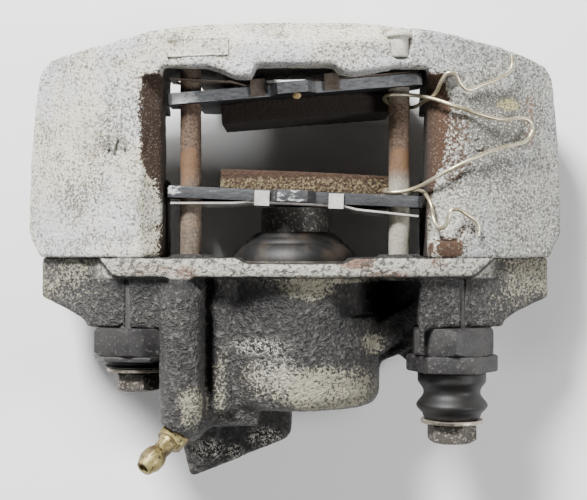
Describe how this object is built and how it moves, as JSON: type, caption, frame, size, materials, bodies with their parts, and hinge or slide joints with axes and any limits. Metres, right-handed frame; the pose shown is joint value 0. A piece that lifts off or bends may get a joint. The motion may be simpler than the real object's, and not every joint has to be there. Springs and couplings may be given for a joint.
{
  "type": "sliding brake caliper",
  "caption": "Sliding disc-brake caliper in bolted iron halves, with piston, two pads on pad pins, a wire pad spring, booted guide pins and a bleed screw.",
  "frame": {"origin": "on the piston axis, in the disc's mid-plane, midway between the two linings", "axes": "+X along the disc's edge, +Y along the wheel axis towards the outboard side, +Z away from the wheel's centre, out through the window"},
  "size_m": [0.24, 0.2, 0.0895],
  "materials": {
    "outer_casting": "rough pale grey weathered casting",
    "cylinder_casting": "rough charcoal casting with pale dust",
    "piston_steel": "plated steel, stained",
    "rubber": "matte black rubber",
    "spring_steel": "dull spring steel",
    "pad_plate": "black paint, worn",
    "lining": "rough friction material",
    "shim_steel": "stained stainless sheet",
    "rusty_pin": "dull brown rust",
    "spring_wire": "bright wire",
    "black_steel": "dull black, dusty",
    "pin_steel": "ground steel, greased",
    "washer_steel": "dull plated washer",
    "bolt_steel": "dull grey bolt",
    "yellow_zinc": "yellow zinc plating"
  },
  "bodies": {
    "housing": {"outer_housing": "outer_casting", "cylinder_housing": "cylinder_casting", "piston_seal": "rubber", "piston_boot": "rubber", "boot_ring": "spring_steel", "pad_pin_left": "rusty_pin", "pad_pin_right": "rusty_pin", "pad_pin_ring_left": "spring_steel", "pad_pin_ring_right": "spring_steel", "wall_pin": "washer_steel", "pad_spring": "spring_wire", "bridge_bolt_left": "black_steel", "bridge_bolt_right": "black_steel", "boot_carrier_left": "black_steel", "boot_carrier_right": "black_steel", "slide_boot_left": "rubber", "slide_boot_right": "rubber"},
    "piston": {"piston": "piston_steel"},
    "inner_pad": {"inner_pad_plate": "pad_plate", "inner_pad_lining": "lining", "inner_pad_shim": "shim_steel"},
    "outer_pad": {"outer_pad_plate": "pad_plate", "outer_pad_lining": "lining", "outer_pad_shim": "shim_steel"},
    "guide_left": {"slide_pin_left": "pin_steel", "slide_washer_left": "washer_steel", "pin_bolt_left": "bolt_steel"},
    "guide_right": {"slide_pin_right": "pin_steel", "slide_washer_right": "washer_steel", "pin_bolt_right": "bolt_steel"},
    "bleeder": {"bleeder_screw": "yellow_zinc"}
  },
  "joints": [
    {"name": "piston_slide", "type": "slide", "parent": "housing", "child": "piston", "axis": [0, 1, 0], "range_m": [-0.014, 0.006], "deforming": ["piston_boot"]},
    {"name": "inner_pad_slide", "type": "slide", "parent": "housing", "child": "inner_pad", "axis": [0, 1, 0], "range_m": [-0.014, 0.006], "deforming": ["pad_spring"]},
    {"name": "outer_pad_slide", "type": "slide", "parent": "housing", "child": "outer_pad", "axis": [0, 1, 0], "range_m": [-0.008, 0.0004], "deforming": ["pad_spring"]},
    {"name": "left_pin_slide", "type": "slide", "parent": "housing", "child": "guide_left", "axis": [0, -1, 0], "range_m": [0, 0.014], "deforming": ["slide_boot_left"]},
    {"name": "right_pin_slide", "type": "slide", "parent": "housing", "child": "guide_right", "axis": [0, 1, 0], "range_m": [0, 0.014], "deforming": ["slide_boot_right"]},
    {"name": "bleeder_turn", "type": "hinge", "parent": "housing", "child": "bleeder", "pos_m": [-0.0485, -0.123, 0.0325], "axis": [-0.5572, -0.5572, 0.6157], "range_deg": [0, 180]}
  ],
  "couplings": [
    {"joint": "inner_pad_slide", "follows": "piston_slide", "ratio": 1}
  ]
}
